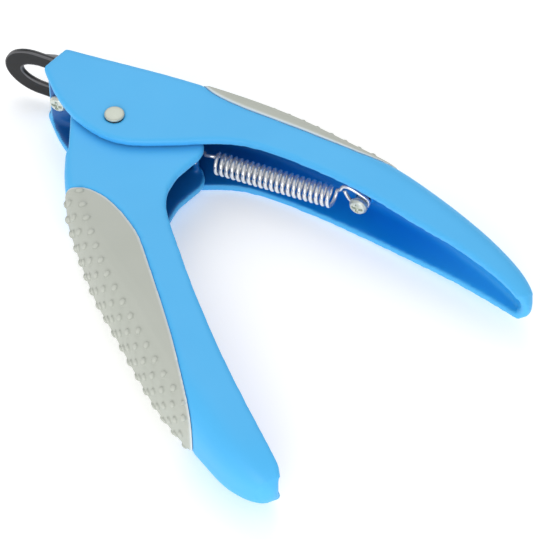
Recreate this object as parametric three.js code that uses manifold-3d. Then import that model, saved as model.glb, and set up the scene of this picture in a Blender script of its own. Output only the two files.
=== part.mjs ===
// Pet nail trimmer, guillotine type: two channel-shaped plastic handles on one rivet, a fixed nail
// ring, a blade that slides past it, and an extension spring that opens the handles again.
// Millimetres, +Z up, lying on its side. The origin is on the pivot axis, on the face it lies on.
// -X is the way the blade travels, +Y is towards the spine of the upper handle.
import * as THREE from 'three';
import { mergeVertices } from 'three/addons/utils/BufferGeometryUtils.js';
import Module from 'manifold-3d';

// ---- driving dimensions -------------------------------------------------------------------

const bodyThickness = 18;            // over both flanks of a handle
const half = bodyThickness / 2;      // height of the middle plane
const upperGripReach = 83;           // from the neck of the upper handle to its tip, along X
const lowerGripReach = 82;           // from the neck of the lower handle to its tip, along it
const flankWall = 2.1;
const spineWall = 2.9;
const cornerFacets = 5;              // facets of each rounded corner of a handle's section
const runningClearance = 0.4;        // between the lower handle's head and the upper flanks
const sliver = 0.008;                // steps smaller than this are flattened
const seatGap = 0.3;                 // between a piece and the pocket that is cut for it

const closingAngle = 36;             // swing of the lower handle from open to closed, degrees

const rivetShank = 3.6;
const rivetHeadRim = 0.55;           // how far the head stands out from the shank
const rivetHeadHeight = 0.7;
const rivetTailRim = 0.8;
const rivetTailHeight = 0.6;
const washerRim = 1.9;
const washerThickness = 0.6;
const boreGap = 0.1;                 // a washer or a plate round its shank

const plateThickness = 1.4;          // nail ring
const hubGap = 0.2;                  // between the lower handle's hub and the nail ring
const ringWidth = 13.5;
const slidePlay = 0.15;              // beside the nail ring and the blade, on each side
const ringTip = -36.0;
const ringArm = 3.7;                 // side arms
const ringBow = 4.6;                 // across the bow at its tip
const bowLength = 9;                 // the bow is half an ellipse
const ringSlotEnd = -22.2;           // where the ring's opening stops
const plateEnd = -9;

const bladeThickness = 0.9;
const bladeGap = 0.25;               // blade to ring and blade to its guide under the spine
const bladeWidth = 12.4;
const bladeEdge = -23.8;             // middle of the cutting edge, handles open
const bladeHollow = 1.3;             // how far the middle of the edge lies behind its corners
const bladeTail = 9;
const bevelRun = 2.2;                // length of the blade's one bevel
const edgeLeft = 0.12;               // thickness of the blade at its edge

const noseRise = 0.35;               // the nose's round tip, above the blade's lower face
const noseRadius = 1.2;
const noseWidth = 6.4;
const nosePlay = 0.35;
const noseRelief = 0.5;              // between the nose at mid-stroke and the spine over it
const noseRoot = 3.2;                // half width of the nose where it leaves the hub
const noseStart = 8;
const noseNeck = 1.6;                // length of its straight part, under the round tip

const hubRadius = 11.3;
const screwThread = 2.6;
const screwHead = 4.4;
const screwHeadHeight = 1.5;
const crossSlotWidth = 0.8;
const crossSlotDepth = 0.8;
const ringScrew = { x: -18.0, seat: 5.6 };

const springPost = { x: 59.7, seat: 6, bossRadius: 2.6 };
const springBar = { x: 19.0, y: 3.5, radius: 1.0 };
const springEye = { x: springPost.x, y: springPost.seat };   // the coil's axis meets the screw's
const springWire = 0.9;
const springOuter = 5.6;
const springTurns = 21;
const springBarGap = 5.29;           // from the middle of the bar to the coil
const springPostGap = 6.3;           // from the middle of the screw to the coil
const hookRoom = 2.1;                // between the screw's head and its boss, where the loop swings
const loopAtBar = 2;                 // radius of the loop round the bar
const barLoopLift = 0.3;             // room for the bar's arc inside that loop
const loopGap = 0.15;                // between the wire and what it hangs on, or its next piece
const bossDepth = 4;                 // of the screw's hole in its boss
const screwTipGap = 0.3;
const earRelief = 1.1;               // between the lower handle's closed ear and the spine over it

const padThickness = 1.1;
const padProud = 0.4;                // how far a pad stands out from the spine

// worked out from the values above
const degrees = Math.PI / 180;
const nearInner = bodyThickness - flankWall;
const headHalf = half - flankWall - runningClearance;
const rivetHead = rivetShank + 2 * rivetHeadRim;
const rivetTail = rivetShank + 2 * rivetTailRim;
const washerDiameter = rivetShank + 2 * washerRim;
const plateFace = hubRadius + hubGap;      // inner face of the nail ring, above the pivot axis
const bladeFace = plateFace + plateThickness + bladeGap;
const noseReach = bladeFace + noseRise;    // pivot axis to the middle of the nose's round tip
const guideFace = bladeFace + bladeThickness + bladeGap;
const reliefFace = noseReach + noseRadius + noseRelief;
const ear = [
  [11.5, 6.6], [15, 5.9], [18.5, 5.3], [20.6, 4.3], [22, 2.4], [22.6, 0.6], [22.5, -0.9],
];
const earTop = Math.max(...ear.map(([x, y]) => (
  x * Math.sin(closingAngle * degrees) + y * Math.cos(closingAngle * degrees)
)));
const earCeiling = earTop + earRelief;
const noseRest = 90 - closingAngle / 2;   // bearing of the nose with the handles open
const noseTipX = noseReach * Math.cos(noseRest * degrees);
const springBossFace = springPost.seat + hookRoom;
const bossHoleEnd = springBossFace + bossDepth;

// ---- solids --------------------------------------------------------------------------------

const wasm = await Module();
wasm.setup();

function solid(geometry) {
  const bare = geometry.index ? geometry.toNonIndexed() : geometry.clone();
  bare.deleteAttribute('normal');
  bare.deleteAttribute('uv');
  const merged = mergeVertices(bare, 1e-4);
  const vertProperties = new Float32Array(merged.attributes.position.array);
  const triVerts = new Uint32Array(merged.index.array);
  return new wasm.Manifold(new wasm.Mesh({ numProp: 3, vertProperties, triVerts }));
}

function joined(first, ...others) {
  return others.reduce((sum, other) => sum.add(other), first);
}

function cut(first, ...others) {
  return others.reduce((rest, other) => rest.subtract(other), first);
}

// Names a finished shape as a mesh, with the slivers that cuts leave behind taken out.
function part(name, shape, material) {
  const { vertProperties, triVerts, numProp } = shape.simplify(sliver).getMesh();
  const positions = [];
  for (let i = 0; i < vertProperties.length; i += numProp) {
    positions.push(vertProperties[i], vertProperties[i + 1], vertProperties[i + 2]);
  }
  const geometry = new THREE.BufferGeometry();
  geometry.setAttribute('position', new THREE.Float32BufferAttribute(positions, 3));
  geometry.setIndex(Array.from(triVerts));
  geometry.computeVertexNormals();
  const mesh = new THREE.Mesh(geometry, material);
  mesh.name = name;
  return mesh;
}

// A straight prism between two heights, from an outline in plan.
function prism(outline, low, high, holes = []) {
  const vectors = (line) => line.map(([x, y]) => new THREE.Vector2(x, y));
  const points = vectors(outline);
  if (THREE.ShapeUtils.isClockWise(points)) points.reverse();
  const shape = new THREE.Shape(points);
  shape.holes = holes.map((hole) => new THREE.Path(vectors(hole)));
  const geometry = new THREE.ExtrudeGeometry(shape, { depth: high - low, bevelEnabled: false });
  return solid(geometry.translate(0, 0, low));
}

function block(x0, x1, y0, y1, z0, z1) {
  const geometry = new THREE.BoxGeometry(x1 - x0, y1 - y0, z1 - z0);
  return solid(geometry.translate((x0 + x1) / 2, (y0 + y1) / 2, (z0 + z1) / 2));
}

// A round bar along Z.
function bar(x, y, radius, low, high, facets = 32) {
  const geometry = new THREE.CylinderGeometry(radius, radius, high - low, facets);
  return solid(geometry.rotateX(Math.PI / 2).translate(x, y, (low + high) / 2));
}

// A round bar along Y.
function crossBar(x, z, radius, low, high, facets = 28) {
  const geometry = new THREE.CylinderGeometry(radius, radius, high - low, facets);
  return solid(geometry.translate(x, (low + high) / 2, z));
}

// A turned solid about Z, from a half profile of [radius, height] that starts and ends on the axis.
function turned(profile, facets = 28) {
  const points = profile.map(([radius, height]) => new THREE.Vector2(radius, height));
  return solid(new THREE.LatheGeometry(points, facets).rotateX(Math.PI / 2));
}

// A round wire along a curve.
function wire(curve, radius, steps, sides) {
  const section = new THREE.Shape();
  section.absarc(0, 0, radius, 0, 2 * Math.PI);
  const geometry = new THREE.ExtrudeGeometry(section, {
    steps, bevelEnabled: false, extrudePath: curve, curveSegments: sides / 2,
  });
  return solid(geometry);
}

function arc(cx, cy, radius, from, to, steps) {
  const points = [];
  for (let i = 0; i <= steps; i += 1) {
    const angle = (from + ((to - from) * i) / steps) * degrees;
    points.push([cx + radius * Math.cos(angle), cy + radius * Math.sin(angle)]);
  }
  return points;
}

// ---- handle sections -----------------------------------------------------------------------

// A handle is a run of stations. Each has the edge of its open side, the crown of its spine, its
// half thickness as a share of the full one, and the radius of the two corners of its spine.
const upperStations = [
  { edge: [-22.5, 7.2], crown: [-20.5, 15.1], full: 1, corner: 1.2 },
  { edge: [-15.2, 0.2], crown: [-12.5, 15.8], full: 1, corner: 1.2 },
  { edge: [-6.4, -4.9], crown: [-4.5, 16.6], full: 1, corner: 1.2 },
  { edge: [4.1, -6.5], crown: [4, 17.4], full: 1, corner: 1.2 },
  { edge: [15.2, -2], crown: [12, 18.2], full: 1, corner: 1.9 },
  { edge: [22.8, 2.1], crown: [20, 19.1], full: 1, corner: 3 },
  { edge: [30.7, 5.1], crown: [30, 19.8], full: 1, corner: 4.4 },
  { edge: [40.8, 5.6], crown: [40.5, 19.2], full: 1, corner: 4.8 },
  { edge: [51.3, 4.9], crown: [52, 17.4], full: 1, corner: 4.8 },
  { edge: [63, 3.3], crown: [65.2, 15.3], full: 0.95, corner: 4.8 },
  { edge: [75, 0.9], crown: [77.9, 11.8], full: 0.84, corner: 4.8 },
  { edge: [85.3, -1.1], crown: [89.1, 7.4], full: 0.77, corner: 4.6 },
  { edge: [93, -3.2], crown: [97.1, 3.3], full: 0.69, corner: 4 },
  { edge: [99, -5.2], crown: [102.9, -0.6], full: 0.6, corner: 3.3 },
  { edge: [103.1, -7.1], crown: [106.2, -4], full: 0.47, corner: 2.4 },
  { edge: [105, -8], crown: [106.9, -6.1], full: 0.33, corner: 1.5 },
  { edge: [106, -8.1], crown: [106.8, -7.3], full: 0.2, corner: 0.7 },
];

const lowerStations = [
  { edge: [20.3, -9.5], crown: [-6.6, -12.3], full: 0, corner: 1.4 },
  { edge: [20.6, -13.8], crown: [-2.5, -20.6], full: 0.02, corner: 2 },
  { edge: [22.3, -18], crown: [3.6, -28.4], full: 0.14, corner: 3.2 },
  { edge: [25.5, -22.5], crown: [10.1, -35.7], full: 0.38, corner: 4.8 },
  { edge: [31.2, -29.3], crown: [16.8, -42.7], full: 0.72, corner: 6.2 },
  { edge: [39.1, -38.4], crown: [25.7, -50.2], full: 0.94, corner: 7.2 },
  { edge: [46.6, -46.2], crown: [34.1, -57.4], full: 1, corner: 7.6 },
  { edge: [54.2, -53.8], crown: [42.6, -64.2], full: 1, corner: 7.6 },
  { edge: [60.5, -59.7], crown: [50.1, -68.8], full: 0.94, corner: 7.2 },
  { edge: [66.7, -65.1], crown: [57.5, -72.9], full: 0.74, corner: 6.4 },
  { edge: [71.9, -69.4], crown: [63.9, -76.3], full: 0.38, corner: 5.4 },
  { edge: [75.6, -72.2], crown: [69.7, -77.9], full: -0.3, corner: 4 },
  { edge: [77.1, -74.3], crown: [73.9, -77.9], full: -1.1, corner: 2.2 },
  { edge: [77.3, -75.8], crown: [76.2, -77.1], full: -1.8, corner: 0.8 },
];

// Half thickness at a station: the upper handle's share counts from nothing, the lower handle's
// from the head that turns between the upper flanks, and below nothing it thins that head.
const tipTaper = 0.385;
const upperHalf = (share) => half * Math.min(share, 1);
const lowerHalf = (share) => (
  share < 0 ? headHalf * (1 + tipTaper * share) : headHalf + (half - headHalf) * Math.min(share, 1)
);

// Stretches the stations past the neck to the wanted reach.
function reached(stations, neck, reach, axis) {
  const tip = stations[stations.length - 1].crown;
  const designed = (tip[0] - neck[0]) * axis[0] + (tip[1] - neck[1]) * axis[1];
  const moved = ([x, y]) => {
    const along = (x - neck[0]) * axis[0] + (y - neck[1]) * axis[1];
    const extra = Math.max(0, along) * (reach / designed - 1);
    return [x + extra * axis[0], y + extra * axis[1]];
  };
  return stations.map((s) => ({ ...s, edge: moved(s.edge), crown: moved(s.crown) }));
}

const upperNeck = [24.1, 4];
const lowerNeck = [21, -16];
const upperRun = reached(upperStations, upperNeck, upperGripReach, [1, 0]);
const lowerAxis = [0.66, -0.7513];
const lowerRun = reached(lowerStations, lowerNeck, lowerGripReach, lowerAxis);

function sampled(stations, halfOf, steps) {
  const curve = (pick) => new THREE.SplineCurve(stations.map((s) => new THREE.Vector2(...pick(s))));
  const edge = curve((s) => s.edge);
  const crown = curve((s) => s.crown);
  const shape = curve((s) => [s.full, s.corner]);
  return Array.from({ length: steps + 1 }, (_, i) => {
    const at = i / steps;
    const form = shape.getPoint(at);
    return { edge: edge.getPoint(at), crown: crown.getPoint(at), half: halfOf(form.x), corner: form.y };
  });
}

// A solid through the stations. `flank` and `spine` set its faces in from the handle's own, and
// `open` is how far it runs out past the open side.
function handleSolid(samples, { flank = 0, spine = 0, open = 0 } = {}) {
  const rings = samples.map((s) => {
    const across = new THREE.Vector2().subVectors(s.crown, s.edge);
    const width = across.length() - spine;
    across.normalize();
    const tall = s.half - flank;
    const inset = Math.max(flank, spine, 0);
    const radius = Math.min(Math.max(s.corner - inset, 0.4), tall - 0.05, width - 0.05);
    const ring = [[-open, -tall]];
    for (let i = 0; i <= cornerFacets; i += 1) {
      const turn = (Math.PI / 2) * (i / cornerFacets);
      ring.push([width - radius + radius * Math.sin(turn), -tall + radius - radius * Math.cos(turn)]);
    }
    const mirrored = ring.map(([u, z]) => [u, -z]).reverse();
    return [...ring, ...mirrored].map(([u, z]) => (
      [s.edge.x + across.x * u, s.edge.y + across.y * u, half + z]
    ));
  });
  // The rings run so that the faces point out, whichever hand the spine is on.
  const along = new THREE.Vector2().subVectors(samples[1].edge, samples[0].edge);
  const across = new THREE.Vector2().subVectors(samples[0].crown, samples[0].edge);
  return loft(along.cross(across) > 0 ? rings : rings.reverse());
}

function loft(rings) {
  const count = rings[0].length;
  const last = (rings.length - 1) * count;
  const index = [];
  for (let i = 0; i < last; i += count) {
    for (let j = 0; j < count; j += 1) {
      const k = (j + 1) % count;
      index.push(i + j, i + k, i + count + k, i + j, i + count + k, i + count + j);
    }
  }
  for (let j = 1; j < count - 1; j += 1) {
    index.push(0, j + 1, j, last, last + j, last + j + 1);
  }
  const geometry = new THREE.BufferGeometry();
  geometry.setAttribute('position', new THREE.Float32BufferAttribute(rings.flat(2), 3));
  geometry.setIndex(index);
  return solid(geometry);
}

const upperSamples = sampled(upperRun, upperHalf, 45);
const lowerSamples = sampled(lowerRun, lowerHalf, 36);

// The channels inside end a little before the closed tips.
const upperInside = sampled(upperRun, upperHalf, 41).slice(0, -3);
const lowerInside = sampled(lowerRun, lowerHalf, 33).slice(0, -4);

// ---- grip pads -----------------------------------------------------------------------------

// Plan of each pad: the edge on the flank, from the head end to the tail, then round outside.
const upperLeaf = [
  [13, 19.6], [16, 17.3], [20, 16.1], [26, 15.4], [33, 15.1], [41, 14.8], [50, 14.3], [58, 14.2],
  [67, 15.2],
];
const lowerLeaf = [
  [-0.9, -23.4], [1.4, -21.9], [4.3, -21.1], [8.9, -22], [13.5, -24.2], [17.6, -27], [21.3, -30.1],
  [27.5, -37.3], [33.9, -44.8], [40.8, -53.1], [46.8, -60.9], [50.8, -66.1], [53.5, -69.8],
  [55.5, -73.2], [56.4, -77],
];

function leafPrism(leaf, outside, grow, into) {
  const smooth = new THREE.SplineCurve(leaf.map(([x, y]) => new THREE.Vector2(x, y)));
  const line = smooth.getPoints(28).map((p, i, all) => {
    const a = all[Math.max(i - 1, 0)];
    const b = all[Math.min(i + 1, all.length - 1)];
    const tangent = new THREE.Vector2().subVectors(b, a).normalize();
    return [p.x + into * tangent.y * grow, p.y - into * tangent.x * grow];
  });
  return prism([...line, ...outside], -1, bodyThickness + 1);
}

function padAndPocket(samples, leaf, outside, into) {
  const skin = handleSolid(samples, { spine: -padProud, open: 0 });
  const under = handleSolid(samples, { flank: padThickness, spine: padThickness - padProud, open: 2 });
  const floor = handleSolid(samples, {
    flank: padThickness + seatGap, spine: padThickness - padProud + seatGap, open: 2,
  });
  const pad = cut(skin.intersect(leafPrism(leaf, outside, 0, into)), under);
  const pocket = cut(leafPrism(leaf, outside, seatGap, into), floor);
  return { pad, pocket };
}

const upperPad = padAndPocket(upperSamples, upperLeaf, [[67, 26], [13, 26]], 1);
const lowerPad = padAndPocket(lowerSamples, lowerLeaf, [[54, -82], [0, -55], [-10, -30]], -1);

// ---- upper handle --------------------------------------------------------------------------

function upperHandle() {
  const outer = handleSolid(upperSamples);
  const channel = handleSolid(upperInside, { flank: flankWall, spine: spineWall, open: 12 });
  // The head is hollow up to the blade's guide, with a relief over the nose.
  const headRoom = prism([
    [-26, -12], [12, -12], [21, 0], [21, earCeiling], [10, earCeiling], [8.5, reliefFace],
    [-7, reliefFace], [-8, guideFace], [-26, guideFace],
  ], flankWall, nearInner);
  const bridge = prism([
    [-21.9, 8.2], [-20.6, ringScrew.seat], [-14.6, ringScrew.seat], [-14.6, plateFace - bladeGap],
    [-21.9, plateFace - bladeGap],
  ], flankWall - 0.5, nearInner + 0.5);
  const beside = half - slidePlay;
  const bladeSlot = block(
    bladeEdge - bladeHollow - bladeWidth, bladeTail + bladeWidth, plateFace + plateThickness / 2, guideFace,
    beside - bladeWidth / 2, half + bladeWidth / 2 + slidePlay,
  );
  const ringSlot = block(
    ringTip, plateEnd, plateFace - bladeGap, plateFace + plateThickness + bladeGap,
    beside - ringWidth / 2, half + ringWidth / 2 + slidePlay,
  );
  const spineTop = Math.max(...upperRun.map((s) => s.crown[1]));
  const boss = crossBar(springPost.x, half, springPost.bossRadius, springBossFace, spineTop, 24);
  const wall = cut(outer, upperPad.pocket);
  const holeRadius = screwThread / 2 + seatGap;
  const screwHole = crossBar(springPost.x, half, holeRadius, springBossFace - 1, bossHoleEnd);
  const clampHole = crossBar(ringScrew.x, half, screwThread / 2 + seatGap, 0, plateFace + 1);
  const rivetHole = bar(0, 0, rivetShank / 2 + seatGap, -1, bodyThickness + 1);
  const washerSeat = bar(0, 0, washerDiameter / 2 + seatGap, -1, washerThickness + rivetTailHeight);
  const shell = joined(cut(wall, channel, headRoom, bladeSlot, ringSlot), bridge, boss.intersect(wall));
  return cut(shell, screwHole, clampHole, rivetHole, washerSeat);
}

// ---- lower handle --------------------------------------------------------------------------

function lowerHandle() {
  const low = half - headHalf;
  const high = half + headHalf;
  const grip = handleSolid(lowerSamples);
  const channel = handleSolid(lowerInside, { flank: flankWall, spine: spineWall, open: 4 });
  const head = prism([
    [-4.1, -14.2], [-6, -12.1], [-8.3, -7], ...arc(0, 0, hubRadius, 184, 55, 16),
    ...ear, [21.5, -4.2], [20.6, -7.3], [20.3, -9.5], [20.4, -12],
  ], low, high);
  const across = [Math.cos((noseRest - 90) * degrees), Math.sin((noseRest - 90) * degrees)];
  const along = [Math.cos(noseRest * degrees), Math.sin(noseRest * degrees)];
  const place = (u, v) => [across[0] * u + along[0] * v, across[1] * u + along[1] * v];
  const tip = arc(0, noseReach, noseRadius, 0, 180, 10).map(([u, v]) => place(u, v));
  const nose = prism([
    place(noseRoot, noseStart), place(noseRadius, noseReach - noseNeck), ...tip,
    place(-noseRadius, noseReach - noseNeck), place(-noseRoot, noseStart),
  ], half - noseWidth / 2, half + noseWidth / 2);
  const earRoom = prism([
    [12.2, -13], [12.2, 8], [26, 8], [26, -13],
  ], low + flankWall, high - flankWall);
  const hookBar = bar(springBar.x, springBar.y, springBar.radius, low + 1, high - 1, 20);
  const rivetHole = bar(0, 0, rivetShank / 2 + seatGap, -1, bodyThickness + 1);
  const body = joined(cut(joined(grip, head), channel, earRoom), nose, hookBar);
  return cut(body, lowerPad.pocket, rivetHole);
}

// ---- pivot ---------------------------------------------------------------------------------

function pivotRivet() {
  const shank = rivetShank / 2;
  const head = rivetHead / 2;
  return turned([
    [0, 0], [rivetTail / 2, 0], [rivetTail / 2, rivetTailHeight], [shank, rivetTailHeight],
    [shank, bodyThickness], [head, bodyThickness], [head, bodyThickness + rivetHeadHeight * 0.55],
    [head - 0.35, bodyThickness + rivetHeadHeight * 0.9], [head - 0.9, bodyThickness + rivetHeadHeight],
    [0, bodyThickness + rivetHeadHeight],
  ]);
}

function rivetWasher() {
  const low = rivetTailHeight;
  const bore = rivetShank / 2 + boreGap;
  const rim = washerDiameter / 2;
  return turned([
    [bore, low], [rim, low], [rim, low + washerThickness], [bore, low + washerThickness], [bore, low],
  ]);
}

// ---- nail ring, blade and its screw --------------------------------------------------------

// Plates that stand across the handles are drawn with their width along Z, in (x, z), and laid
// between two heights along Y.
function plate(outline, holes, face, thickness) {
  const flipped = (line) => line.map(([x, z]) => [x, -z]);
  const flat = prism(flipped(outline), 0, thickness, holes.map(flipped));
  return flat.transform([1, 0, 0, 0, 0, 0, -1, 0, 0, 1, 0, 0, 0, face, 0, 1]);
}

function nailRing() {
  const outer = ringWidth / 2;
  const holeHalf = outer - ringArm;
  const halfEllipse = (tip, length, wide, steps) => arc(0, 0, 1, 90, 270, steps)
    .map(([u, v]) => [tip + length * (1 + u), half + wide * v]);
  const bow = halfEllipse(ringTip, bowLength, outer, 24);
  const hole = halfEllipse(ringTip + ringBow, bowLength - ringBow * 0.6, holeHalf, 20);
  const outline = [...bow, [plateEnd, half - outer], [plateEnd, half + outer]];
  const opening = [...hole, [ringSlotEnd, half - holeHalf], [ringSlotEnd, half + holeHalf]];
  const screw = arc(ringScrew.x, half, screwThread / 2 + boreGap, 0, 360, 24).slice(0, -1);
  return plate(outline, [opening, screw], plateFace, plateThickness);
}

function blade() {
  const low = half - bladeWidth / 2;
  const high = half + bladeWidth / 2;
  const edge = [];
  const edgeSteps = 12;
  for (let i = 0; i <= edgeSteps; i += 1) {
    const across = (2 * i) / edgeSteps - 1;
    edge.push([bladeEdge - bladeHollow * across * across, half + (bladeWidth / 2) * across]);
  }
  const reach = noseRadius + nosePlay;
  const wide = noseWidth / 2 + nosePlay;
  const window = [
    [noseTipX - reach, half - wide], [noseTipX + reach, half - wide],
    [noseTipX + reach, half + wide], [noseTipX - reach, half + wide],
  ];
  const blank = plate([...edge, [bladeTail, high], [bladeTail, low]], [window], bladeFace, bladeThickness);
  // One bevel, on the side away from the ring.
  const front = bladeEdge - bladeHollow;
  const slope = (bladeThickness - edgeLeft) / bevelRun;
  const past = 1;
  const wedge = prism([
    [front - past, bladeFace + edgeLeft - slope * past], [front - past, bladeFace + 2],
    [front + bevelRun + past, bladeFace + 2],
    [front + bevelRun + past, bladeFace + edgeLeft + slope * (bevelRun + past)],
  ], low - 1, high + 1);
  return cut(blank, wedge);
}

// A pan head with a cross recess and a plain shank, pointing along -Z from the seat at the origin.
function panScrew(length) {
  const head = screwHead / 2;
  const shank = screwThread / 2;
  const body = turned([
    [0, -length], [shank - 0.4, -length], [shank, -length + 0.5], [shank, 0], [head, 0],
    [head, screwHeadHeight * 0.5], [head - 0.45, screwHeadHeight * 0.88], [head - 1.1, screwHeadHeight],
    [0, screwHeadHeight],
  ], 28);
  const slot = crossSlotWidth / 2;
  const reach = head * 0.62;
  const bottom = screwHeadHeight - crossSlotDepth;
  return cut(
    body,
    block(-reach, reach, -slot, slot, bottom, screwHeadHeight + 1),
    block(-slot, slot, -reach, reach, bottom, screwHeadHeight + 1),
  );
}

// Turns a screw so that its head faces -Y, with its seat where it is wanted.
function facingDown(screw, { x, seat }) {
  return screw.transform([1, 0, 0, 0, 0, 0, 1, 0, 0, -1, 0, 0, x, seat, half, 1]);
}

// The ring screw's head is under the bridge.
function clampScrew() {
  return facingDown(panScrew(plateFace + plateThickness - ringScrew.seat - boreGap), ringScrew);
}

// The spring screw stands in its boss on the spine, with its head facing -Y too.
function postScrew() {
  return facingDown(panScrew(bossHoleEnd - springPost.seat - screwTipGap), springPost);
}

// ---- return spring -------------------------------------------------------------------------

const springAngle = Math.atan2(springEye.y - springBar.y, springEye.x - springBar.x);
const springLength = Math.hypot(springEye.y - springBar.y, springEye.x - springBar.x);
const coilRadius = (springOuter - springWire) / 2;
const coilStart = springBarGap;                    // measured from the bar, along the spring
const coilEnd = springLength - springPostGap;
const coilLength = coilEnd - coilStart;
const barLoopShift = loopAtBar - springBar.radius - springWire / 2 - loopGap;
const turnEnd = springWire / 2 + loopGap;          // from the coil's last turn to a hook

class Helix extends THREE.Curve {
  getPoint(t, target = new THREE.Vector3()) {
    const turn = 2 * Math.PI * springTurns * t;
    return target.set(coilStart + coilLength * t, coilRadius * Math.cos(turn), coilRadius * Math.sin(turn));
  }
}

// The spring is drawn along X from the bar, at the height of its own axis, then turned into place.
function alongSpring(shape) {
  const c = Math.cos(springAngle);
  const s = Math.sin(springAngle);
  return shape.transform([c, s, 0, 0, -s, c, 0, 0, 0, 0, 1, 0, springBar.x, springBar.y, half, 1]);
}

function springCoil() {
  return alongSpring(wire(new Helix(), springWire / 2, springTurns * 9, 6));
}

// The hook on the bar: an open loop that lies flat, and a stem that climbs to the first turn.
function barHook() {
  const points = [];
  for (let angle = 75; angle <= 330; angle += 30) {
    points.push(new THREE.Vector3(
      barLoopShift + loopAtBar * Math.cos(angle * degrees),
      barLoopLift - loopAtBar * Math.sin(angle * degrees),
      0,
    ));
  }
  points.push(new THREE.Vector3(coilStart - turnEnd, coilRadius * 0.9, 0));
  return alongSpring(wire(new THREE.CatmullRomCurve3(points), springWire / 2, 30, 6));
}

// The hook round the screw, which stands along Z between the screw's head and its boss: it climbs
// from the coil to its neck, runs over the screw and comes back under it, like a teardrop.
function screwHook() {
  const snug = (screwThread + springWire) / 2 + loopGap;   // middle of the wire to the screw's
  const offset = hookRoom / 2;
  const points = [
    new THREE.Vector3(coilEnd + turnEnd, 0.3, -coilRadius * 0.75),
    new THREE.Vector3(coilEnd + 1.2, 0.5, 0),
    new THREE.Vector3(springLength - 4.8, offset * 0.8, 2.9),
    ...[[-3.6, 3.6], [-1.9, 3.2]].map(([u, w]) => new THREE.Vector3(springLength + u, offset, w)),
  ];
  for (let angle = 75; angle >= -145; angle -= 27.5) {
    points.push(new THREE.Vector3(
      springLength + snug * Math.cos(angle * degrees), offset, snug * Math.sin(angle * degrees),
    ));
  }
  points.push(...[[-3, 0.1], [-3.7, 1.4]].map(([u, w]) => new THREE.Vector3(springLength + u, offset, w)));
  return alongSpring(wire(new THREE.CatmullRomCurve3(points), springWire / 2, 40, 6));
}

// ---- assembly ------------------------------------------------------------------------------

const finish = (color, roughness, metalness) => (
  new THREE.MeshStandardMaterial({ color, roughness, metalness })
);
const bluePlastic = () => finish(0x5fbcf4, 0.42, 0);
const greyRubber = () => finish(0xbfc4ba, 0.8, 0);
const blackSteel = () => finish(0x33363a, 0.45, 0.4);
const brightSteel = () => finish(0xd9dad8, 0.3, 0.9);

const trimmer = new THREE.Group();
trimmer.add(
  part('upper_handle', upperHandle(), bluePlastic()),
  part('lower_handle', lowerHandle(), bluePlastic()),
  part('upper_grip', upperPad.pad, greyRubber()),
  part('lower_grip', lowerPad.pad, greyRubber()),
  part('pivot_rivet', pivotRivet(), brightSteel()),
  part('rivet_washer', rivetWasher(), brightSteel()),
  part('nail_ring', nailRing(), blackSteel()),
  part('blade', blade(), brightSteel()),
  part('ring_screw', clampScrew(), brightSteel()),
  part('spring_screw', postScrew(), brightSteel()),
  part('spring_coil', springCoil(), brightSteel()),
  part('spring_bar_hook', barHook(), brightSteel()),
  part('spring_post_hook', screwHook(), brightSteel()),
);

export default trimmer;
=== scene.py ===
"""Pet nail trimmer, guillotine type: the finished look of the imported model.

Metres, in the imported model's frame: the pivot axis is Z through the origin, the trimmer lies on
its side on z = 0, the blade travels along -X and the spine of the upper handle faces +Y."""
import math

import bmesh
import bpy
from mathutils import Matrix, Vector
from mathutils.bvhtree import BVHTree
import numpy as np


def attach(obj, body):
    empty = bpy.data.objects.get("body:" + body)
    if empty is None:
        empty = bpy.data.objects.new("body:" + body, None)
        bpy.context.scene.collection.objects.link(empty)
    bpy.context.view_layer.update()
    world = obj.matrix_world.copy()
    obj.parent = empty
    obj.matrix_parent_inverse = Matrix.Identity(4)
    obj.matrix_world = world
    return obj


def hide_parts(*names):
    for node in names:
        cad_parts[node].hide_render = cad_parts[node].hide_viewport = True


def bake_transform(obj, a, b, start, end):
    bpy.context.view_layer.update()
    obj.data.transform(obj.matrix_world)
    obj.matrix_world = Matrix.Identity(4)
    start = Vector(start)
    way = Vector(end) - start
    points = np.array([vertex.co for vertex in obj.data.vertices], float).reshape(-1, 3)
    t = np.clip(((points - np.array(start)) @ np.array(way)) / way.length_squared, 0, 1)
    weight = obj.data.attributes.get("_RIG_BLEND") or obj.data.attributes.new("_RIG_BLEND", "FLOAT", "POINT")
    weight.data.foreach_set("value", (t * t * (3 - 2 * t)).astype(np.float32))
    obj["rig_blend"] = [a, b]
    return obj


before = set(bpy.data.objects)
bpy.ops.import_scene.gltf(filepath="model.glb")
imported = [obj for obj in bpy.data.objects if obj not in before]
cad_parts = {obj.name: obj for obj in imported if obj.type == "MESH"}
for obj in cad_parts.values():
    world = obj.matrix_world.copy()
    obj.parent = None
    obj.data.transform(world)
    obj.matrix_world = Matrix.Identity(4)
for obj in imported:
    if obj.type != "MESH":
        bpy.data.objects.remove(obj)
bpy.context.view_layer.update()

MM = 0.001
MIDDLE = 9 * MM                 # height of the handles' middle plane
WELD = 0.001 * MM               # points closer than this are joined


# ---- camera and lamps -------------------------------------------------------------------------

CAMERA_TARGET = Vector((49.4, -20.46, 9.0)) * MM
CAMERA_DISTANCE = 0.6
CAMERA_TURN, CAMERA_RISE = math.radians(25), math.radians(50)
LENS = 177.6                    # in millimetres, on a sensor 36 mm wide

def aim(thing, target):
    turn = (target - thing.location).to_track_quat("-Z", "Y")
    thing.rotation_euler = turn.to_euler()


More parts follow.
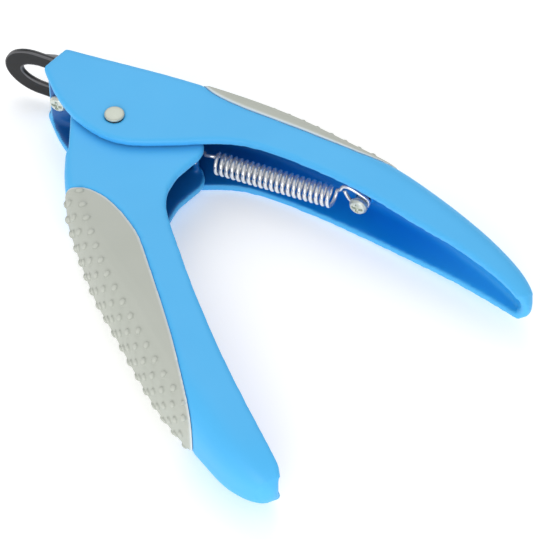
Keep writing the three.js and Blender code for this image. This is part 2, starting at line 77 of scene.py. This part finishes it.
def make_camera():
    back = Vector((
        math.sin(CAMERA_TURN) * math.cos(CAMERA_RISE),
        -math.cos(CAMERA_TURN) * math.cos(CAMERA_RISE),
        math.sin(CAMERA_RISE),
    ))
    lens = bpy.data.cameras.new("camera")
    lens.lens = LENS
    lens.sensor_width = 36
    lens.clip_start = 0.01
    lens.clip_end = 20
    camera = bpy.data.objects.new("camera", lens)
    camera.location = CAMERA_TARGET + back * CAMERA_DISTANCE
    bpy.context.collection.objects.link(camera)
    aim(camera, CAMERA_TARGET)
    bpy.context.scene.camera = camera


def make_softbox(name, place, target, size, power):
    lamp = bpy.data.lights.new(name, "AREA")
    lamp.shape = "DISK"
    lamp.size = size
    lamp.energy = power
    box = bpy.data.objects.new(name, lamp)
    box.location = Vector(place)
    bpy.context.collection.objects.link(box)
    aim(box, Vector(target))


# ---- shader maths -----------------------------------------------------------------------------

class Shade:
    """A socket of a material, on which arithmetic adds Math nodes."""

    def __init__(self, finish, socket):
        self.finish = finish
        self.socket = socket

    def _math(self, operation, *values):
        return self.finish.node("ShaderNodeMath", {"operation": operation}, dict(enumerate(values)))

    def __add__(self, other):
        return self._math("ADD", self, other)

    __radd__ = __add__

    def __sub__(self, other):
        return self._math("SUBTRACT", self, other)

    def __rsub__(self, other):
        return self._math("SUBTRACT", other, self)

    def __mul__(self, other):
        return self._math("MULTIPLY", self, other)

    __rmul__ = __mul__

    def between(self, low, high):
        """0 below low, 1 above high, smooth between."""
        return self.finish.node("ShaderNodeMapRange", {"interpolation_type": "SMOOTHSTEP"},
                                {"Value": self, "From Min": low, "From Max": high})


class Finish:
    """A material with one Principled shader."""

    def __init__(self, name):
        self.material = bpy.data.materials.new(name)
        self.material.use_nodes = True
        self.tree = self.material.node_tree
        self.tree.nodes.clear()
        self.shader = self.tree.nodes.new("ShaderNodeBsdfPrincipled")
        output = self.tree.nodes.new("ShaderNodeOutputMaterial")
        self.tree.links.new(self.shader.outputs[0], output.inputs[0])
        self.place = self.node("ShaderNodeTexCoord", {}, {}, out="Object")

    def feed(self, socket, value):
        if isinstance(value, Shade):
            self.tree.links.new(value.socket, socket)
        else:
            socket.default_value = value

    def node(self, kind, settings, inputs, out=0):
        """Makes a node: its settings first, then the values or links of its sockets."""
        made = self.tree.nodes.new(kind)
        for key, value in settings.items():
            setattr(made, key, value)
        for key, value in inputs.items():
            self.feed(made.inputs[key], value)
        return Shade(self, made.outputs[out])

    def noise(self, scale, detail=3.0, roughness=0.5, place=None):
        return self.node("ShaderNodeTexNoise", {}, {
            "Vector": place or self.place, "Scale": scale, "Detail": detail, "Roughness": roughness,
        }, out="Fac")

    def mix(self, share, first, second):
        """Between two colours."""
        made = self.tree.nodes.new("ShaderNodeMix")
        made.data_type = "RGBA"
        made.clamp_factor = True
        # Sockets 0, 6 and 7 are the factor and the two colours, and output 2 is the colour.
        self.feed(made.inputs[0], share)
        self.feed(made.inputs[6], first)
        self.feed(made.inputs[7], second)
        return Shade(self, made.outputs[2])

    def bump(self, height, strength, distance):
        return self.node("ShaderNodeBump", {}, {
            "Height": height, "Strength": strength, "Distance": distance,
        }, out="Normal")

    def attribute(self, name):
        return self.node("ShaderNodeAttribute", {"attribute_name": name}, {}, out="Fac")

    def set(self, **sockets):
        for key, value in sockets.items():
            self.feed(self.shader.inputs[key.replace("_", " ")], value)
        return self.material


# ---- finishes ---------------------------------------------------------------------------------

def blue_plastic():
    finish = Finish("light_blue_plastic")
    cloud = finish.noise(45, 2)
    grain = finish.noise(2600, 2, 0.6)
    inside = finish.attribute("inside").between(0.15, 0.85)
    outer = finish.mix(cloud, (0.070, 0.47, 0.90, 1), (0.082, 0.51, 0.95, 1))
    # The hollow side is painted darker as shade: the painted shade is darkest by the pivot, and the hollow
    # side is painted lighter towards the tips, where more light reaches.
    x = finish.node("ShaderNodeSeparateXYZ", {}, {"Vector": finish.place}, out="X")
    hollow_painted_shade = finish.mix(cloud, (0.003, 0.24, 0.70, 1), (0.005, 0.28, 0.78, 1))
    hollow_painted_shade = finish.mix(x.between(0.046, 0.008), hollow_painted_shade, (0.004, 0.10, 0.34, 1))
    hollow_painted_shade = finish.mix(x.between(0.066, 0.10) * 0.7, hollow_painted_shade, (0.05, 0.48, 0.90, 1))
    flow = finish.noise(160, 3)
    return finish.set(
        Base_Color=finish.mix(inside, outer, hollow_painted_shade),
        Roughness=0.46 + 0.08 * flow - 0.16 * inside,
        IOR=1.46,
        Normal=finish.bump(grain, 0.05, 0.00004),
    )


def grey_grip():
    finish = Finish("grey_grip_rubber")
    cloud = finish.noise(60, 3)
    grain = finish.noise(3800, 2, 0.7)
    raised = finish.attribute("raised")
    # A stud's top is polished by use and painted lighter as a highlight, and painted shade lies round its
    # foot.
    worn_and_highlit_top = raised.between(0.35, 1.0)
    painted_foot_shade = raised.between(0.02, 0.3) * (1.0 - raised.between(0.4, 0.75))
    # The pad's rim is painted pale blue-grey as a highlight line along its edge.
    rim = finish.attribute("rim").between(0.3, 0.9)
    plain = finish.mix(cloud, (0.48, 0.51, 0.45, 1), (0.54, 0.56, 0.51, 1))
    plain = finish.mix(painted_foot_shade * 0.3, plain, (0.24, 0.26, 0.22, 1))
    return finish.set(
        Base_Color=finish.mix(rim * 0.75, finish.mix(worn_and_highlit_top * 0.4, plain, (0.58, 0.60, 0.54, 1)),
                              (0.80, 0.88, 0.92, 1)),
        Roughness=0.72 + 0.12 * cloud - 0.12 * worn_and_highlit_top,
        IOR=1.45,
        Normal=finish.bump(grain, 0.12, 0.00005),
    )


def black_oxide():
    finish = Finish("black_oxide_steel")
    cloud = finish.noise(240, 4)
    scratches = finish.noise(900, 2, 0.5, finish.node(
        "ShaderNodeMapping", {}, {"Vector": finish.place, "Scale": (0.12, 1, 1)}))
    edge = finish.attribute("edge").between(0.25, 0.9)
    plain = finish.mix(cloud, (0.009, 0.009, 0.011, 1), (0.019, 0.020, 0.021, 1))
    return finish.set(
        Base_Color=finish.mix(edge * 0.75, plain, (0.20, 0.20, 0.21, 1)),
        Metallic=0.55 + 0.3 * edge,
        Roughness=0.30 + 0.16 * scratches,
        Normal=finish.bump(scratches, 0.06, 0.00003),
    )


def ground_steel(name, colour, base_roughness, lengthwise=True, metallic=0.92):
    """Steel with fine grinding marks along X, or turned marks where lengthwise is off."""
    finish = Finish(name)
    stretch = (0.05, 1, 1) if lengthwise else (1, 1, 0.08)
    marks = finish.noise(2400, 2, 0.6, finish.node(
        "ShaderNodeMapping", {}, {"Vector": finish.place, "Scale": stretch}))
    cloud = finish.noise(300, 3)
    darker = tuple(0.86 * c for c in colour)
    return finish.set(
        Base_Color=finish.mix(cloud, (*colour, 1), (*darker, 1)),
        Metallic=metallic,
        Roughness=base_roughness + 0.14 * marks,
        Normal=finish.bump(marks, 0.08, 0.00003),
    )


# ---- making pieces ----------------------------------------------------------------------------

def smooth_object(name, mesh, finish):
    mesh.materials.append(finish)
    for face in mesh.polygons:
        face.use_smooth = True
    made = bpy.data.objects.new(name, mesh)
    bpy.context.collection.objects.link(made)
    return made


def new_piece(name, mesh, body, stands_for, finish):
    """Turns a bmesh into a piece of the look that rides on a body."""
    piece = smooth_object(name, finished_mesh(mesh, name), finish)
    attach(piece, body)
    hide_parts(*stands_for)


def merged_copy(node):
    """A bmesh of a CAD node with its triangles joined along their edges."""
    mesh = bmesh.new()
    mesh.from_mesh(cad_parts[node].data)
    bmesh.ops.remove_doubles(mesh, verts=mesh.verts, dist=2 * WELD)
    return mesh


def even_skin(node, grid):
    """A CAD node's surface as an even net of small faces, as a bmesh."""
    source = merged_copy(node)
    mesh = bpy.data.meshes.new(node + "_source")
    source.to_mesh(mesh)
    source.free()
    holder = bpy.data.objects.new(node + "_source", mesh)
    bpy.context.collection.objects.link(holder)
    skin = holder.modifiers.new("skin", "REMESH")
    skin.mode = "VOXEL"
    skin.voxel_size = grid
    skin.adaptivity = 0
    bpy.context.view_layer.update()
    made = bpy.data.meshes.new_from_object(
        holder.evaluated_get(bpy.context.evaluated_depsgraph_get()))
    bpy.data.objects.remove(holder)
    even = bmesh.new()
    even.from_mesh(made)
    bpy.data.meshes.remove(made)
    return even


def soften(mesh, rounds, near=None, reach=0.0):
    """Rounds a mesh off, all of it or only what lies near a place."""
    verts = [v for v in mesh.verts if near is None or (v.co - near).length < reach]
    for _ in range(rounds):
        bmesh.ops.smooth_vert(mesh, verts=verts, factor=0.5,
                              use_axis_x=True, use_axis_y=True, use_axis_z=True)
    mesh.normal_update()


def paint(mesh, name, value_of):
    layer = mesh.verts.layers.float.new(name)
    for vert in mesh.verts:
        vert[layer] = value_of(vert)


def blur(mesh, name, rounds):
    layer = mesh.verts.layers.float[name]
    for _ in range(rounds):
        spread = [
            sum(edge.other_vert(vert)[layer] for edge in vert.link_edges) / len(vert.link_edges)
            for vert in mesh.verts
        ]
        for vert, value in zip(mesh.verts, spread):
            vert[layer] = value


def finished_mesh(mesh, name):
    made = bpy.data.meshes.new(name)
    mesh.to_mesh(made)
    mesh.free()
    return made


# How finely each kind of piece is remeshed, and how often it is smoothed.
HANDLE_GRID, HANDLE_ROUNDS = 0.42 * MM, 9
PAD_GRID, PAD_ROUNDS = 0.27 * MM, 3
RING_GRID, RING_ROUNDS = 0.17 * MM, 4
SCREW_GRID, SCREW_ROUNDS = 0.1 * MM, 3
TIP_REACH, TIP_ROUNDS = 4.5 * MM, 60    # the handles' tips are rounded further

SURFACE_GAP = 0.5 * MM                  # a ray starts this far off the surface
RIM_WIDTH = 0.5 * MM                    # the width of a pad's rim that is painted light as a highlight line
SEAM_REACH, SEAM_FADE = 0.9 * MM, 0.4 * MM
SEAM_PULL = 0.8                         # how much of its gap a pad's rim closes
PAD_DEPTH = 5                           # in millimetres; no stud stands deeper than this
STUD_RADIUS = 0.82                      # in millimetres
STUD_HEIGHT = 0.62 * MM
STUD_FULLNESS = 2.4                     # 2 makes a stud round, and more makes it flatter on top
FULL_BEND = 0.35                        # radians between neighbours on a worn edge
TURNED_STEPS = 64

# The ends of the handles, and the crown of each spine where its pad lies, in millimetres.
UPPER_TIP, LOWER_TIP = (107, -7.5, 9), (77, -76.5, 9)
UPPER_CROWN = [(12, 18.2), (20, 19.1), (30, 19.8), (40.5, 19.2), (52, 17.4), (65.2, 15.3),
               (70, 14)]
LOWER_CROWN = [(-2.5, -20.6), (3.6, -28.4), (10.1, -35.7), (16.8, -42.7), (25.7, -50.2),
               (34.1, -57.4), (42.6, -64.2), (49.7, -69.2), (57.3, -73.4)]

# The middles of the rows of studs round a spine, in millimetres.
STUD_ROWS = (-7.7, -5.13, -2.57, 0, 2.57, 5.13, 7.7)


def handle_skin(node, tip):
    """The moulded body of a handle, with its hollow side marked: what lies between its flanks. The mark
    carries the painted shade of the hollow side.
    """
    mesh = even_skin(node, HANDLE_GRID)
    soften(mesh, HANDLE_ROUNDS)
    soften(mesh, TIP_ROUNDS, Vector(tip) * MM, TIP_REACH)
    walls = BVHTree.FromBMesh(mesh)
    up, down = Vector((0, 0, 1)), Vector((0, 0, -1))

    def hollow(vert):
        start = vert.co + vert.normal * SURFACE_GAP
        above = walls.ray_cast(start, up, 2 * MIDDLE)[0]
        below = walls.ray_cast(start, down, 2 * MIDDLE)[0]
        return 1.0 if above is not None and below is not None else 0.0

    paint(mesh, "inside", hollow)
    for vert in mesh.verts:
        vert.co.z = max(vert.co.z, 0.0)
    blur(mesh, "inside", 2)
    return mesh


def along(line, point):
    """How far along a plan line the point lies, and how far it is to the line's left."""
    best = None
    run = 0.0
    for a, b in zip(line, line[1:]):
        step = b - a
        share = max(0.0, min(1.0, (point - a).dot(step) / step.length_squared))
        gap = point - a - step * share
        if best is None or gap.length < best[0]:
            left = step.normalized().cross(gap)
            best = (gap.length, run + share * step.length, left)
        run += step.length
    return best[1], best[2]


def close_seam(mesh, handle):
    """Draws a pad's rim up to the walls of its pocket and marks it for a painted highlight line."""
    near = merged_copy(handle)
    walls = BVHTree.FromBMesh(near)
    near.free()
    layer = mesh.verts.layers.float.new("rim")
    for vert in mesh.verts:
        spot, _, _, gap = walls.find_nearest(vert.co)
        vert[layer] = max(0.0, min(1.0, 2.0 - gap / RIM_WIDTH))
        pull = SEAM_PULL * max(0.0, min(1.0, (SEAM_REACH - gap) / SEAM_FADE))
        vert.co += (spot - vert.co) * pull
    blur(mesh, "rim", 2)


def place_on_pad(co, line, spine_on_left, corner):
    """Where a point lies on a pad, in millimetres: how far along the crown, how far round the
    spine from its middle, and how far out from the crown."""
    run, left = along(line, Vector((co.x, co.y)))
    proud = (left if spine_on_left else -left) / MM
    off = (co.z - MIDDLE) / MM
    flat_half = MIDDLE / MM - corner
    around = abs(off)
    if around > flat_half:
        around = flat_half + corner * math.atan2(around - flat_half, corner + proud)
    return run / MM, math.copysign(around, off), proud


def studded_pad(node, handle, crown, spine_on_left, corner, rows, pitch, first, last):
    """A grip pad with staggered rows of round studs. Rows are places round the spine, measured
    on the surface from its middle, in millimetres; first and last are places along it."""
    mesh = even_skin(node, PAD_GRID)
    soften(mesh, PAD_ROUNDS)
    close_seam(mesh, handle)
    line = [Vector(point) * MM for point in crown]
    layer = mesh.verts.layers.float.new("raised")
    rim = mesh.verts.layers.float["rim"]
    moves = []
    for vert in mesh.verts:
        run, around, proud = place_on_pad(vert.co, line, spine_on_left, corner)
        row = min(range(len(rows)), key=lambda k: abs(rows[k] - around))
        start = first + (pitch / 2 if row % 2 else 0)
        stud = start + round((run - start) / pitch) * pitch
        if proud < -PAD_DEPTH or vert[rim] > 0.5 or not start <= stud <= last:
            continue
        share = math.hypot(run - stud, around - rows[row]) / STUD_RADIUS
        if share < 1:
            rise = math.sqrt(1 - share ** STUD_FULLNESS)
            vert[layer] = rise
            moves.append((vert, vert.normal.copy() * STUD_HEIGHT * rise))
    for vert, move in moves:
        vert.co += move
    mesh.normal_update()
    return mesh


def edge_wear(mesh):
    """Marks the rounded edges: there the normals of neighbours differ."""
    def bend(vert):
        turn = max((vert.normal.angle(edge.other_vert(vert).normal, 0) for edge in vert.link_edges),
                   default=0)
        return min(1.0, turn / FULL_BEND)

    paint(mesh, "edge", bend)
    blur(mesh, "edge", 1)


def turned_piece(profile):
    """A turned solid about Z, from a half profile of (radius, height) in millimetres."""
    mesh = bmesh.new()
    verts = [mesh.verts.new((radius * MM, 0, height * MM)) for radius, height in profile]
    edges = [mesh.edges.new(pair) for pair in zip(verts, verts[1:])]
    bmesh.ops.spin(mesh, geom=verts + edges, cent=(0, 0, 0), axis=(0, 0, 1),
                   angle=math.tau, steps=TURNED_STEPS, use_merge=True, use_duplicate=False)
    bmesh.ops.remove_doubles(mesh, verts=mesh.verts, dist=WELD)
    bmesh.ops.recalc_face_normals(mesh, faces=mesh.faces)
    return mesh


# ---- the spring -------------------------------------------------------------------------------

SPRING_BAR = Vector((19.0, 3.5, 9.0)) * MM
SPRING_EYE = Vector((59.7, 6.0, 9.0)) * MM     # where the coil's axis meets the screw's
WIRE = 0.9 * MM
COIL_RADIUS = 2.35 * MM
TURNS = 21
TURN_STEPS = 24
BAR_GAP, SCREW_GAP = 5.29 * MM, 6.3 * MM       # from the coil to the bar and to the screw
BAR_LOOP, BAR_SHIFT, BAR_LIFT = 2.0 * MM, 0.4 * MM, 0.3 * MM
SCREW_LOOP, SCREW_ASIDE = 1.9 * MM, 1.05 * MM  # the loop's radius, and how far off the coil's axis

# How the wire leaves the coil for the screw, in millimetres along the spring, aside and up.
LEAVE = [(0.5, 1.9, 0.9), (0.95, 1.3, 1.5), (1.4, 1.0, 2.3)]

# The teardrop's two legs, in millimetres from the screw along the spring and up.
NECK = [(-4.6, 3.05), (-4.2, 3.45), (-3.6, 3.6), (-2.7, 3.5), (-1.9, 3.2), (-1.0, 2.75),
        (-0.2, 2.3)]
TAIL = [(-2.3, -0.75), (-2.8, -0.15), (-3.25, 0.5), (-3.7, 1.4), (-4.0, 2.1)]


def spring_line():
    """The wire's centre line: the bar's loop, the coil, and the loop round the screw. It comes
    with the ends of the coil, the one at the screw first."""
    span = (SPRING_EYE - SPRING_BAR).length
    coil_start, coil_end = BAR_GAP, span - SCREW_GAP
    pitch = (coil_end - coil_start) / TURNS
    points = []
    for angle in range(75, 331, 15):
        turn = math.radians(angle)
        points.append((BAR_SHIFT + BAR_LOOP * math.cos(turn),
                       BAR_LIFT - BAR_LOOP * math.sin(turn), 0))
    points.append((coil_start - 1.2 * MM, COIL_RADIUS * 0.72, -0.05 * MM))
    points.append((coil_start - 0.4 * MM, COIL_RADIUS * 0.94, -0.25 * MM))
    for step in range(TURNS * TURN_STEPS + 1):
        turn = math.tau * step / TURN_STEPS
        points.append((
            coil_start + pitch * step / TURN_STEPS,
            COIL_RADIUS * math.cos(turn),
            COIL_RADIUS * math.sin(turn),
        ))
    # A teardrop round the screw: its neck, then over the screw and back under it.
    points += [(coil_end + u * MM, v * MM, w * MM) for u, v, w in LEAVE]
    points += [(span + u * MM, SCREW_ASIDE, w * MM) for u, w in NECK]
    for angle in range(69, -150, -12):
        turn = math.radians(angle)
        points.append((span + SCREW_LOOP * math.cos(turn), SCREW_ASIDE,
                       SCREW_LOOP * math.sin(turn)))
    points += [(span + u * MM, SCREW_ASIDE, w * MM) for u, w in TAIL]
    ahead = (SPRING_EYE - SPRING_BAR).normalized()
    across = Vector((-ahead.y, ahead.x, 0))
    line = [SPRING_BAR + ahead * x + across * y + Vector((0, 0, z)) for x, y, z in points]
    return line, SPRING_BAR + ahead * coil_end, SPRING_BAR + ahead * coil_start


def wire_along(points):
    """A bmesh of round wire along a line."""
    curve = bpy.data.curves.new("spring_wire", "CURVE")
    curve.dimensions = "3D"
    curve.bevel_depth = WIRE / 2
    curve.bevel_resolution = 4
    curve.use_fill_caps = True
    spline = curve.splines.new("POLY")
    spline.points.add(len(points) - 1)
    for place, point in zip(spline.points, points):
        place.co = (*point, 1)
    holder = bpy.data.objects.new("spring_wire_line", curve)
    bpy.context.collection.objects.link(holder)
    bpy.context.view_layer.update()
    mesh = bpy.data.meshes.new_from_object(
        holder.evaluated_get(bpy.context.evaluated_depsgraph_get()))
    bpy.data.objects.remove(holder)
    wire = bmesh.new()
    wire.from_mesh(mesh)
    bpy.data.meshes.remove(mesh)
    bmesh.ops.remove_doubles(wire, verts=wire.verts, dist=WELD)
    bmesh.ops.recalc_face_normals(wire, faces=wire.faces)
    return wire


# ---- assembly ---------------------------------------------------------------------------------

make_camera()

plastic = blue_plastic()
rubber = grey_grip()
oxide = black_oxide()
plated = ground_steel("plated_steel", (0.74, 0.78, 0.70), 0.34, lengthwise=False, metallic=0.7)
blade_steel = ground_steel("ground_blade_steel", (0.62, 0.63, 0.65), 0.22)
wire_chrome = ground_steel("bright_spring_wire", (0.95, 0.95, 0.94), 0.16, lengthwise=False,
                           metallic=0.75)
rivet_steel = ground_steel("peened_rivet_steel", (0.60, 0.64, 0.56), 0.42, lengthwise=False,
                           metallic=0.4)

new_piece("upper_handle_body", handle_skin("upper_handle", UPPER_TIP),
          "upper", ["upper_handle"], plastic)
new_piece("lower_handle_body", handle_skin("lower_handle", LOWER_TIP),
          "lower", ["lower_handle"], plastic)
upper_pad = studded_pad("upper_grip", "upper_handle", UPPER_CROWN, spine_on_left=True,
                        corner=4.6, rows=STUD_ROWS[1:-1], pitch=3.85, first=12.0, last=50.0)
new_piece("upper_grip_pad", upper_pad, "upper", ["upper_grip"], rubber)
lower_pad = studded_pad("lower_grip", "lower_handle", LOWER_CROWN, spine_on_left=False,
                        corner=7.6, rows=STUD_ROWS, pitch=4.45, first=4.6, last=75.5)
new_piece("lower_grip_pad", lower_pad, "lower", ["lower_grip"], rubber)

ring = even_skin("nail_ring", RING_GRID)
soften(ring, RING_ROUNDS)
edge_wear(ring)
new_piece("nail_ring_plate", ring, "upper", ["nail_ring"], oxide)

cutter = merged_copy("blade")
bmesh.ops.dissolve_limit(cutter, angle_limit=math.radians(2),
                         verts=cutter.verts, edges=cutter.edges)
new_piece("cutting_blade", cutter, "cutter", ["blade"], blade_steel)

for screw, name in (("ring_screw", "ring_clamp_screw"), ("spring_screw", "spring_post_screw")):
    body = even_skin(screw, SCREW_GRID)
    soften(body, SCREW_ROUNDS)
    new_piece(name, body, "upper", [screw], plated)

rivet = turned_piece([
    (0, 0.02), (2.2, 0.02), (2.5, 0.15), (2.6, 0.35), (2.5, 0.55), (1.8, 0.6), (1.8, 17.9),
    (2.25, 17.98), (2.35, 18.1), (2.34, 18.4), (2.2, 18.58), (1.9, 18.65), (1.0, 18.68), (0, 18.68),
])
new_piece("pivot_rivet_turned", rivet, "upper", ["pivot_rivet"], rivet_steel)
washer = turned_piece([
    (1.95, 0.64), (3.6, 0.64), (3.7, 0.75), (3.7, 1.05), (3.6, 1.18), (1.95, 1.18), (1.95, 0.64),
])
new_piece("rivet_washer_ring", washer, "upper", ["rivet_washer"], rivet_steel)

wire_line, near_post, near_bar = spring_line()
spring = smooth_object("return_spring", finished_mesh(wire_along(wire_line), "return_spring"),
                       wire_chrome)
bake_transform(spring, "spring", "spring_end", start=near_post, end=near_bar)
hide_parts("spring_coil", "spring_bar_hook", "spring_post_hook")

# A pale floor and a soft white studio.
FLOOR_HALF = 4
floor_mesh = bmesh.new()
bmesh.ops.create_grid(floor_mesh, x_segments=1, y_segments=1, size=FLOOR_HALF)
floor_data = finished_mesh(floor_mesh, "floor")
floor = bpy.data.objects.new("floor", floor_data)
bpy.context.collection.objects.link(floor)
pale = Finish("pale_floor")
floor_data.materials.append(pale.set(
    Base_Color=pale.mix(pale.noise(3, 2), (0.93, 0.93, 0.93, 1), (0.95, 0.95, 0.95, 1)),
    Emission_Color=(1, 1, 1, 1), Emission_Strength=0.3, Roughness=0.9))

world = bpy.data.worlds.new("studio")
world.use_nodes = True
world.node_tree.nodes["Background"].inputs[0].default_value = (1, 1, 1, 1)
world.node_tree.nodes["Background"].inputs[1].default_value = 0.62
bpy.context.scene.world = world
bpy.context.scene.view_settings.view_transform = "Standard"
LAMP_TARGET = (0.04, -0.02, 0)
make_softbox("key", (-0.35, 0.6, 0.9), LAMP_TARGET, 0.9, 3.2)
make_softbox("front", (0.3, -0.95, 0.45), LAMP_TARGET, 0.8, 4.5)
